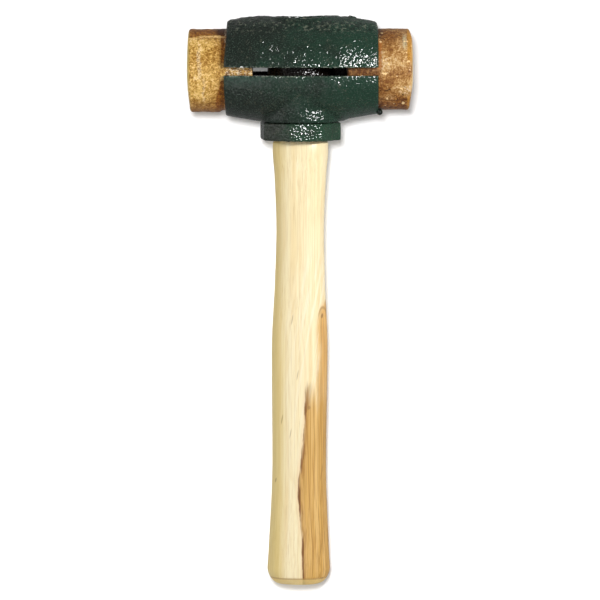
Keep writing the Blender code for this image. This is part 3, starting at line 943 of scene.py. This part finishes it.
def hide(name, seed, pale, mid, dark, shares):
    """Lacquered hide: granular and mottled. Returns the nodes, the colour so far and the noises.

    shares are how much the grain, the specks and the clouds count in its tone.
    """
    n = Nodes(name)
    at = n.stretch((1, 1, 1), shift=(seed, seed * 0.7, -seed))
    grain = n.noise(at, 560, 3, 0.62, 0.5)
    speck = n.noise(at, 1150, 2, 0.6)
    wide = n.noise(at, 85, 3, 0.55, 0.4)
    tone = n.plus(*(n.times(part, share) for part, share in zip((grain, speck, wide), shares)))
    bright = tuple(0.5 * (part + 1.0) for part in pale)
    colour = n.ramp(tone, ((0.44, dark), (0.53, mid), (0.60, pale), (0.74, bright)))
    return n, colour, grain, speck, wide


def stained_and_shaded(n, grain, speck, *tones):
    """Hide darkened brown, by stain and by painted shade, in three tones from dark to pale."""
    tone = n.plus(n.times(grain, 0.6), n.times(speck, 0.4))
    return n.ramp(tone, tuple(zip((0.38, 0.50, 0.64), tones)))


def finish_hide(n, colour, grain, speck):
    height = n.plus(n.times(grain, 0.55), n.times(speck, 0.45))
    normal = n.bump(height, 0.00034)
    rough = n.span(grain, 0.35, 0.7, 0.40, 0.26)
    gloss = {"Specular_IOR_Level": 0.20, "Coat_Weight": 0.06, "Coat_Roughness": 0.12}
    return n.finish(colour, rough, normal, **gloss)


def rawhide_left():
    """Golden, with a red-brown band above the wrap's edge, another against the casting and a darker
    bottom, each partly stain and partly painted shade.
    """
    n, colour, grain, speck, wide = hide(
        "rawhide_left", 0.21, (0.80, 0.53, 0.165), (0.53, 0.300, 0.068), (0.27, 0.120, 0.018),
        (0.44, 0.36, 0.26),
    )
    x, y = n.axes()[:2]
    x = n.plus(x, n.times(wide, 0.0014), -0.0007)
    y = n.plus(y, n.times(wide, 0.0030), -0.0015)
    out = n.times(x, -1.0)
    # above the seam: stain and painted shade along the top of the roll
    seam = n.plus(y, n.times(out, 0.055))
    over = n.span(seam, 0.0241, 0.0247)
    # against the casting, but not beside the gap between the jaws: stain and painted shade where the
    # roll meets the casting
    beside_gap = n.band(y, -0.0035, 0.0035, 0.003)
    reach = n.plus(out, n.times(n.span(y, -0.004, -0.020), -0.0035))
    tight = n.fade(reach, 0.0484, 0.0502)
    near = n.most(tight, n.span(reach, 0.0480, 0.0570, 0.45, 0.0))
    near = n.times(near, n.span(beside_gap, 0.0, 1.0, 1.0, 0.15))
    # darker along the bottom of the roll, less so at its striking end: stain and painted shade
    low = n.span(y, -0.0145, -0.0250, 0.0, 0.8)
    low = n.times(low, n.span(out, 0.066, 0.0695, 1.0, 0.35))
    # this mask lays both the stain and the painted shade of the three bands
    stain = n.most(n.times(over, 0.86), n.most(n.times(near, 0.9), low))
    brown = stained_and_shaded(n, grain, speck, (0.080, 0.014, 0.002), (0.20, 0.055, 0.004), (0.43, 0.165, 0.014))
    colour = n.mix(stain, colour, brown)
    # near-black where the top band meets the casting: painted shade in the corner
    corner = n.times(over, n.fade(out, 0.050, 0.056))
    colour = n.paint(colour, (0.040, 0.008, 0.003), corner, 0.75)
    inside = n.times(n.fade(out, 0.0462, 0.0474), n.span(speck, 0.50, 0.58))
    colour = n.paint(colour, (0.82, 0.72, 0.55), inside, 0.75)
    shadow = n.times(n.fade(out, 0.0462, 0.0474), n.span(grain, 0.52, 0.42))
    colour = n.paint(colour, (0.17, 0.075, 0.025), shadow, 0.85)
    line = n.times(n.band(seam, 0.0232, 0.0238, 0.0004), n.span(speck, 0.40, 0.52))
    colour = n.paint(colour, (0.88, 0.60, 0.27), line, 0.6)
    # painted highlights: pale streaks that wander down the side; then the smoother lip of the striking
    # end
    wiggle = n.times(n.streaks(30, 190, 2), 0.006)
    thin_line = n.plus(out, wiggle)
    upper = n.times(n.band(thin_line, 0.0648, 0.0656, 0.0013), n.band(y, -0.003, 0.013, 0.003))
    lower = n.times(n.band(thin_line, 0.0622, 0.0628, 0.0008), n.band(y, -0.017, -0.006, 0.003))
    pale = n.times(n.most(upper, n.times(lower, 0.7)), n.span(speck, 0.36, 0.54))
    colour = n.paint(colour, (0.90, 0.74, 0.48), pale, 0.45)
    lip = n.span(out, 0.0683, 0.0693)
    colour = n.paint(colour, (0.75, 0.55, 0.14), lip, 0.8)
    return finish_hide(n, colour, grain, speck)


def rawhide_right():
    """Tan and mottled, with a red edge against the casting and an orange rim; browner at the top, at
    the bottom and against the casting, partly stain and partly painted shade.
    """
    n, colour, grain, speck, wide = hide(
        "rawhide_right", 0.57, (0.60, 0.375, 0.145), (0.37, 0.180, 0.052), (0.19, 0.070, 0.018),
        (0.36, 0.30, 0.40),
    )
    x, y = n.axes()[:2]
    x = n.plus(x, n.times(wide, 0.0016), -0.0008)
    y = n.plus(y, n.times(wide, 0.0050), -0.0025)
    brown = stained_and_shaded(n, grain, speck, (0.070, 0.018, 0.004), (0.18, 0.060, 0.012), (0.45, 0.195, 0.042))
    # browner towards the top, the bottom and the casting: stain and painted shade
    high = n.span(y, 0.0125, 0.0225, 0.0, 0.60)
    low = n.span(y, -0.009, -0.021, 0.0, 0.95)
    near = n.span(x, 0.0485, 0.0520, 0.7, 0.0)
    colour = n.mix(n.most(n.most(high, low), near), colour, brown)
    # darker where the roll sits inside the casting and shows in the gap between the jaws: stain and
    # painted shade
    inner = n.times(n.fade(x, 0.0465, 0.0485), n.span(grain, 0.36, 0.62, 1.0, 0.45))
    colour = n.paint(colour, (0.11, 0.040, 0.013), inner, 0.9)
    red = n.times(n.band(x, 0.0485, 0.0492, 0.0018), n.band(y, 0.004, 0.017, 0.003))
    colour = n.paint(colour, (0.46, 0.15, 0.030), red, 0.6)
    # near-black against the casting at the top and the bottom: painted shade in the corners
    corner = n.times(n.fade(x, 0.0490, 0.0525), n.span(n.math("ABSOLUTE", y), 0.0175, 0.0220))
    colour = n.paint(colour, (0.05, 0.014, 0.008), corner, 0.75)
    rim = n.times(n.band(x, 0.0665, 0.0690, 0.0012), n.span(speck, 0.30, 0.50))
    rim = n.times(rim, n.most(n.span(y, 0.002, 0.009), n.span(y, -0.012, -0.018)))
    colour = n.paint(colour, (0.52, 0.24, 0.030), rim, 0.75)
    lip = n.times(n.span(x, 0.0684, 0.0692), n.span(n.math("ABSOLUTE", y), 0.012, 0.020, 1.0, 0.35))
    colour = n.paint(colour, (0.86, 0.66, 0.34), lip, 0.75)
    streak = n.times(n.band(x, 0.0640, 0.0648, 0.0016), n.band(y, 0.0165, 0.0200, 0.0040))
    colour = n.paint(colour, (0.54, 0.50, 0.31), streak, n.span(speck, 0.35, 0.60, 0.2, 0.7))
    pips = n.span(n.noise(n.stretch((1, 1, 1), shift=(3, 1, 2)), 420, 0.5), 0.70, 0.74)
    colour = n.paint(colour, (0.93, 0.66, 0.32), pips, 0.85)
    pits = n.span(n.noise(n.stretch((1, 1, 1), shift=(5, 2, 1)), 460, 0.5), 0.68, 0.73)
    colour = n.paint(colour, (0.05, 0.018, 0.008), pits, n.span(y, -0.006, -0.012), 0.85)
    return finish_hide(n, colour, grain, speck)


# the heartwood's edge on the front of the stick: distance right of the axis, at a height, in mm
HEART_EDGE = (
    (2.2, -318.0), (1.3, -294.0), (0.1, -276.0), (-0.6, -261.0), (0.6, -247.0),
    (2.0, -230.0), (3.1, -212.0), (3.7, -197.0), (4.6, -186.0), (6.0, -170.0),
)
# the edge of the paler tongue above it
TONGUE_EDGE = (
    (9.0, -215.0), (10.0, -196.0), (11.2, -176.0), (10.6, -163.0),
    (11.4, -153.0), (13.2, -147.0), (19.0, -141.0),
)
HEART_X = (-2.0, 20.0)
HEART_Y = (-322.0, -130.0)
# short dark marks and the knot: the middle's distance right of the axis and height, half width, half
# length, all in mm, and strength
MARKS = (
    (-5.2, -155.0, 0.35, 3.4, 0.50), (-1.8, -189.5, 0.35, 3.4, 0.45),
    (-11.5, -217.6, 0.35, 3.2, 0.55), (-6.2, -226.3, 0.35, 3.4, 0.45),
    (-15.4, -256.0, 0.4, 1.6, 0.6), (13.4, -153.0, 0.7, 1.6, 0.9),
    (5.0, -203.0, 1.8, 9.0, 0.35), (5.2, -210.0, 1.1, 1.3, 0.60),
    (13.2, -251.0, 0.5, 6.0, 0.40), (12.6, -300.0, 0.4, 8.0, 0.40),
    (13.6, -317.4, 1.1, 0.6, 0.85), (13.4, -318.2, 1.0, 1.1, 1.0),
)


def heart_edge(n, y, edge):
    """An edge's distance from the axis, in metres, from a curve through its points."""
    node = n.add("ShaderNodeFloatCurve")
    points = node.mapping.curves[0].points
    for _ in edge[2:]:
        points.new(0.5, 0.5)
    low_x, high_x = HEART_X
    low_y, high_y = HEART_Y
    for point, (x_mm, y_mm) in zip(points, edge):
        point.location = ((y_mm - low_y) / (high_y - low_y), (x_mm - low_x) / (high_x - low_x))
        point.handle_type = "AUTO_CLAMPED"
    node.mapping.update()
    down = n.add("ShaderNodeMapRange", {0: y, 1: low_y * MM, 2: high_y * MM, 3: 0.0, 4: 1.0}).outputs[0]
    n.feed(node.inputs["Value"], down)
    return n.plus(n.times(node.outputs[0], (high_x - low_x) * MM), low_x * MM)


def hickory(name):
    """Pale sapwood with fine grain, a honey-coloured left flank that is partly painted shade, and
    heartwood low on the right.
    """
    n = Nodes(name)
    x, y, z = n.axes()
    fibre = n.streaks(900, 16, 4, 0.6)
    streaks = n.streaks(330, 5, 3, 0.55)
    pore = n.streaks(2400, 60, 2)
    drift = n.streaks(60, 9, 2)
    wander = n.times(n.minus(n.streaks(26, 6.5, 2), 0.5), 0.018)
    # growth rings about a pith well off to one side, drawn out along the stick
    ring_x = n.plus(x, -0.034, n.times(y, 0.014))
    ring_z = n.plus(z, 0.030)
    far = n.length(ring_x, ring_z)
    ring = n.math("FRACT", n.times(n.plus(far, wander), 430.0))
    black = (0, 0, 0)
    late = n.ramp(ring, ((0.0, black), (0.70, (0.12, 0.12, 0.12)), (0.93, (1, 1, 1)), (1.0, black)))

    pale = n.mix(n.times(late, 0.38), (0.93, 0.80, 0.50), (0.80, 0.61, 0.30))
    threads = n.streaks(1300, 7, 3, 0.6)
    layers = (
        ((0.96, 0.87, 0.63), fibre, 0.42, 0.72, 0.50),
        ((0.86, 0.67, 0.34), streaks, 0.46, 0.62, 0.70),
        ((0.76, 0.58, 0.30), threads, 0.50, 0.64, 0.55),
        ((0.66, 0.48, 0.24), pore, 0.54, 0.70, 0.40),
        ((0.88, 0.70, 0.42), drift, 0.40, 0.75, 0.30),
    )
    for tint, grain, low, high, share in layers:
        pale = n.paint(pale, tint, n.span(grain, low, high, 0.0, share))
    # paler streaks cross the grain where the stick was bent straight
    aslant = n.vector(n.times(n.plus(x, n.times(y, -0.17)), 620.0), n.times(y, 18.0), n.times(z, 150.0))
    slanting = n.times(n.span(n.noise(aslant, 1.0, 2), 0.48, 0.62), n.band(y, -0.235, -0.135, 0.035))
    slanting = n.times(slanting, n.span(x, -0.006, 0.004, 0.4, 1.0))
    pale = n.paint(pale, (0.96, 0.89, 0.70), slanting, 0.45)
    # the left flank turns honey-coloured: partly the wood's own tone, partly painted shade on the side
    # away from the key
    flank = n.plus(x, n.times(streaks, 0.004), n.times(drift, 0.003))
    honey_and_shade = n.mix(fibre, (0.68, 0.48, 0.13), (0.92, 0.74, 0.31))
    pale = n.mix(n.span(flank, -0.0120, -0.0040, 0.85, 0.0), pale, honey_and_shade)

    brown = n.mix(n.times(late, 0.80), (0.69, 0.41, 0.11), (0.38, 0.165, 0.026))
    layers = (
        ((0.75, 0.48, 0.165), streaks, 0.44, 0.62, 0.90),
        ((0.47, 0.24, 0.045), fibre, 0.44, 0.66, 0.75),
        ((0.36, 0.16, 0.030), threads, 0.50, 0.62, 0.50),
    )
    for tint, grain, low, high, share in layers:
        brown = n.paint(brown, tint, n.span(grain, low, high, 0.0, share))
    ragged = n.times(n.minus(n.streaks(200, 26, 3), 0.5), 0.0024)
    ragged = n.plus(ragged, n.times(n.minus(n.streaks(500, 160, 2), 0.5), 0.0018))
    past = n.minus(x, n.plus(heart_edge(n, y, HEART_EDGE), ragged))
    # its top fades out along the streaks
    rise = n.plus(y, n.times(streaks, 0.030), -0.015)
    below = n.fade(rise, -0.211, -0.191)
    heart = n.times(n.span(past, -0.0009, 0.0012), below)
    tongue = n.minus(x, n.plus(heart_edge(n, y, TONGUE_EDGE), ragged))
    tongue = n.times(n.span(tongue, -0.0016, 0.0030), n.span(y, -0.2150, -0.1950, 1.0, 0.85))
    colour = n.mix(n.most(heart, tongue), pale, brown)
    # the upper end of the tongue is a clearer orange
    amber = n.mix(n.span(fibre, 0.42, 0.62), (0.80, 0.44, 0.11), (0.50, 0.22, 0.035))
    colour = n.mix(n.times(n.times(tongue, n.span(y, -0.2150, -0.1800)), 0.60), colour, amber)
    blush = n.times(n.span(past, -0.0030, -0.0004), n.fade(past, -0.0004, 0.0004))
    colour = n.paint(colour, (0.88, 0.60, 0.34), blush, below, 0.45)
    broken = n.streaks(300, 30, 3, 0.6, shift=(4, 0, 0))
    shade = n.times(n.band(past, 0.0000, 0.0014, 0.0010), n.span(broken, 0.34, 0.52, 0.25, 1.0))
    colour = n.paint(colour, (0.42, 0.19, 0.040), shade, below, 0.60)
    rim = n.times(n.band(past, -0.0003, 0.0008, 0.0006), n.span(broken, 0.42, 0.56, 0.15, 1.0))
    colour = n.paint(colour, (0.21, 0.075, 0.014), rim, below, 0.95)

    front = n.span(z, 0.0, 0.002)
    for mark_x, mark_y, wide, long, share in MARKS:
        lean_x = n.plus(x, -mark_x * MM, n.times(n.plus(y, -mark_y * MM), -0.16))
        a = n.times(lean_x, 1 / (wide * MM))
        b = n.times(n.plus(y, -mark_y * MM), 1 / (long * MM))
        away = n.plus(n.times(a, a), n.times(b, b), n.times(fibre, 0.5))
        mark = n.times(n.span(away, 0.4, 1.7, share, 0.0), front)
        colour = n.paint(colour, (0.30, 0.15, 0.045), mark)
    # dark lines arch over the knot at the tongue's tip
    over = n.length(n.times(n.plus(x, -0.0138), 1 / 0.0026), n.times(n.plus(y, 0.1545), 1 / 0.0068))
    arch = n.times(n.band(over, 0.94, 1.02, 0.16), n.span(y, -0.156, -0.151))
    colour = n.paint(colour, (0.40, 0.20, 0.055), arch, front, 0.6)
    # the chamfer is painted warmer, partly as painted light on a facet that faces away from the key,
    # and a darker line runs along its top edge
    colour = n.paint(colour, (0.98, 0.71, 0.25), n.span(y, -0.3182, -0.3176, 0.70, 0.0))
    thin_line = n.band(y, -0.3178, -0.3172, 0.0004)
    colour = n.paint(colour, (0.55, 0.32, 0.10), thin_line, 0.65)

    rough = n.span(fibre, 0.3, 0.7, 0.50, 0.36)
    height = n.minus(n.times(fibre, 0.5), n.times(late, 0.4))
    return n.finish(colour, rough, n.bump(height, 0.00005), Coat_Weight=0.25, Coat_Roughness=0.30)


def wedge_wood(name):
    n = Nodes(name)
    fibre = n.streaks(1200, 60, 4, 0.6)
    colour = n.ramp(fibre, ((0.35, (0.22, 0.11, 0.045)), (0.65, (0.50, 0.31, 0.15))))
    return n.finish(colour, 0.6, n.bump(fibre, 0.0001))


def wedge_steel(name):
    n = Nodes(name)
    stain = n.noise(n.here, 500, 4, 0.6)
    colour = n.ramp(stain, ((0.35, (0.30, 0.27, 0.24)), (0.6, (0.55, 0.54, 0.52))))
    rough = n.span(stain, 0.3, 0.7, 0.5, 0.28)
    return n.finish(colour, rough, n.bump(n.noise(n.here, 900, 3), 0.0001), Metallic=1.0)


def set_enamel(name):
    """The enamel alone, thick and black-green."""
    n = Nodes(name)
    cloud = n.noise(n.here, 600, 2)
    colour = n.ramp(cloud, ((0.3, (0.002, 0.004, 0.003)), (0.7, (0.005, 0.011, 0.008))))
    return n.finish(colour, n.span(n.noise(n.here, 300, 1), 0.3, 0.7, 0.10, 0.18))


# ---------------------------------------------------------------- studio

FLOOR_REACH = 9.0
WALL_HEIGHT = 4.0
SKY = 0.22
FLOOR_GLOW = 0.20
FAR_FLOOR_GLOW = 0.60
SUN_POWER = 0.5
LAMP_POWER = 32.7
FAR_FLOOR = (0.6, 4.0)  # where the far floor's glow begins and is full, from the tool
BACKDROP_GLOW = 0.9
LIGHT_DISTANCE = 1.1
KEY_DIRECTION = (0.66, 0.16, 0.84)
KEY_SIZE = (0.10, 0.34)
SUN_DIRECTION = (-0.062, 0.105, 1.0)
SUN_ANGLE_DEG = 8.0
LAMP_PLACE = (-0.09, 0.305, 2.15)
LAMP_RADIUS = 0.15
CAMERA_LENS = 300.0
CAMERA_LEAN_DEG = 2.25
CAMERA_DISTANCE = 3.110
AIM_SHIFT = 0.00082
WHITE = (1.0, 1.0, 1.0, 1.0)


def make_floor():
    mesh = bpy.data.meshes.new("floor")
    r = FLOOR_REACH
    mesh.from_pydata([(-r, -r, 0), (r, -r, 0), (r, r, 0), (-r, r, 0)], [], [(0, 1, 2, 3)])
    floor = in_scene("floor", mesh)
    n = Nodes("floor_paper")
    tone = n.ramp(n.noise(n.here, 3.0, 2), ((0.3, (0.80, 0.80, 0.805)), (0.7, (0.83, 0.83, 0.835))))
    n.feed(n.shader.inputs["Emission Color"], WHITE)
    # the far floor gives more light of its own, so that it stays as pale as the near floor
    away = n.length(*n.axes()[:2])
    glow = n.span(away, *FAR_FLOOR, FLOOR_GLOW, FAR_FLOOR_GLOW)
    n.feed(n.shader.inputs["Emission Strength"], glow)
    mesh.materials.append(n.finish(tone, 0.9, Specular_IOR_Level=0.1))
    floor.visible_glossy = False
    return floor


def make_backdrop():
    """A pale wall round the floor, which lights nothing."""
    count = 64
    low = [(FLOOR_REACH * s, FLOOR_REACH * c, -0.01) for s, c in turns(count)]
    points = low + [(x, y, WALL_HEIGHT) for x, y, z in low]
    faces = [(i, (i + 1) % count, count + (i + 1) % count, count + i) for i in range(count)]
    mesh = bpy.data.meshes.new("backdrop")
    mesh.from_pydata(points, [], faces)
    wall = in_scene("backdrop", mesh)
    n = Nodes("backdrop_paper")
    n.feed(n.shader.inputs["Emission Color"], WHITE)
    n.feed(n.shader.inputs["Emission Strength"], BACKDROP_GLOW)
    mesh.materials.append(n.finish((0.1, 0.1, 0.1, 1.0), 1.0))
    wall.visible_glossy = False
    wall.visible_diffuse = False
    wall.visible_shadow = False


def link_to(light, receivers, name):
    lit = bpy.data.collections.new(name)
    for obj in receivers:
        lit.objects.link(obj)
    light.light_linking.receiver_collection = lit


def new_light(name, kind, power):
    data = bpy.data.lights.new(name, kind)
    data.energy = power
    return in_scene(name, data)


def area_light(name, direction, size, power, distance=LIGHT_DISTANCE):
    """A soft box that shines on the head from a direction."""
    light = new_light(name, "AREA", power)
    light.data.shape = "RECTANGLE"
    light.data.size, light.data.size_y = size
    aim = TOOL.translation
    light.location = aim + Vector(direction).normalized() * distance
    light.rotation_euler = (light.location - aim).to_track_quat("Z", "Y").to_euler()
    return light


ENAMELLED = ("upper_jaw_casting", "lower_jaw_casting", "octagon_nut", "enamel_bead")


def make_lights(pieces, floor):
    key = area_light("key", KEY_DIRECTION, KEY_SIZE, 10.0)
    side = area_light("side", (-0.95, 0.10, 0.32), (0.6, 0.8), 1.6)
    veil = area_light("veil", (-0.34, -0.62, 0.80), (0.55, 0.45), 1.1)
    fill = area_light("fill", (-0.25, -0.10, 1.0), (0.6, 0.6), 3.1)
    fill.visible_glossy = False
    for light in (key, side, veil, fill):
        link_to(light, pieces, light.name + "_lights")
    # the wet-looking enamel also catches a glint of the key's bare tube
    tube = area_light("tube", KEY_DIRECTION, KEY_SIZE, 12.0, 1.15)
    tube.visible_diffuse = False
    link_to(tube, [obj for obj in pieces if obj.name in ENAMELLED], "tube_lights")
    sun = new_light("sun", "SUN", SUN_POWER)
    sun.data.angle = math.radians(SUN_ANGLE_DEG)
    sun.rotation_euler = Vector(SUN_DIRECTION).to_track_quat("Z", "Y").to_euler()
    link_to(sun, [floor], "sun_lights")
    # a lamp over the head end, close enough to lengthen the shadows towards the butt
    lamp = new_light("lamp", "POINT", LAMP_POWER)
    lamp.data.shadow_soft_size = LAMP_RADIUS
    lamp.data.use_nodes = True
    tree = lamp.data.node_tree
    falloff = tree.nodes.new("ShaderNodeLightFalloff")
    falloff.inputs["Strength"].default_value = 1.0
    tree.links.new(falloff.outputs["Constant"], tree.nodes["Emission"].inputs["Strength"])
    lamp.location = LAMP_PLACE
    link_to(lamp, [floor], "lamp_lights")
    world = bpy.data.worlds.new("studio")
    world.use_nodes = True
    background = world.node_tree.nodes["Background"]
    background.inputs["Color"].default_value = WHITE
    background.inputs["Strength"].default_value = SKY
    bpy.context.scene.world = world


def make_camera():
    """Straight above, leaning a little towards the head, with a long lens."""
    target = (cad_low + cad_high) / 2
    target.y += AIM_SHIFT
    target.z = 0.5 * cad_high.z
    data = bpy.data.cameras.new("camera")
    data.lens = CAMERA_LENS
    camera = in_scene("camera", data)
    lean = math.radians(CAMERA_LEAN_DEG)
    back = Vector((0.0, math.sin(lean), math.cos(lean)))
    side = Vector((1.0, 0.0, 0.0))
    camera.location = target + back * CAMERA_DISTANCE
    camera.rotation_euler = Matrix((side, back.cross(side), back)).transposed().to_euler()
    bpy.context.scene.camera = camera


# ---------------------------------------------------------------- assembly

upper = make_upper_jaw()
lower = make_lower_jaw()
thread = make_thread()
nut = make_nut()
left_face = make_face("left")
right_face = make_face("right")
handle = make_handle()
oak, *irons = make_wedges()
bead = make_paint_bead()

GREEN = (0.009, 0.033, 0.019)
GREY = (0.009, 0.016, 0.011)

BARE_R = SEAT_R + 0.4  # the bore's iron is bare inside this

looks = {
    upper: enamel("enamel_upper", 0.13, GREEN, GREY, BARE_R),
    lower: enamel("enamel_lower", 0.37, GREEN, GREY, BARE_R),
    nut: enamel("enamel_nut", 0.71, (0.014, 0.050, 0.026), (0.020, 0.026, 0.018)),
    thread: bare_thread("stem_iron"),
    left_face: rawhide_left(),
    right_face: rawhide_right(),
    handle: hickory("hickory"),
    oak: wedge_wood("wedge_wood"),
    **{iron: wedge_steel(iron.name + "_metal") for iron in irons},
    bead: set_enamel("enamel_bead"),
}
for piece, look in looks.items():
    piece.data.materials.append(look)

make_backdrop()
make_lights(list(looks), make_floor())
make_camera()
bpy.context.scene.view_settings.view_transform = "Standard"
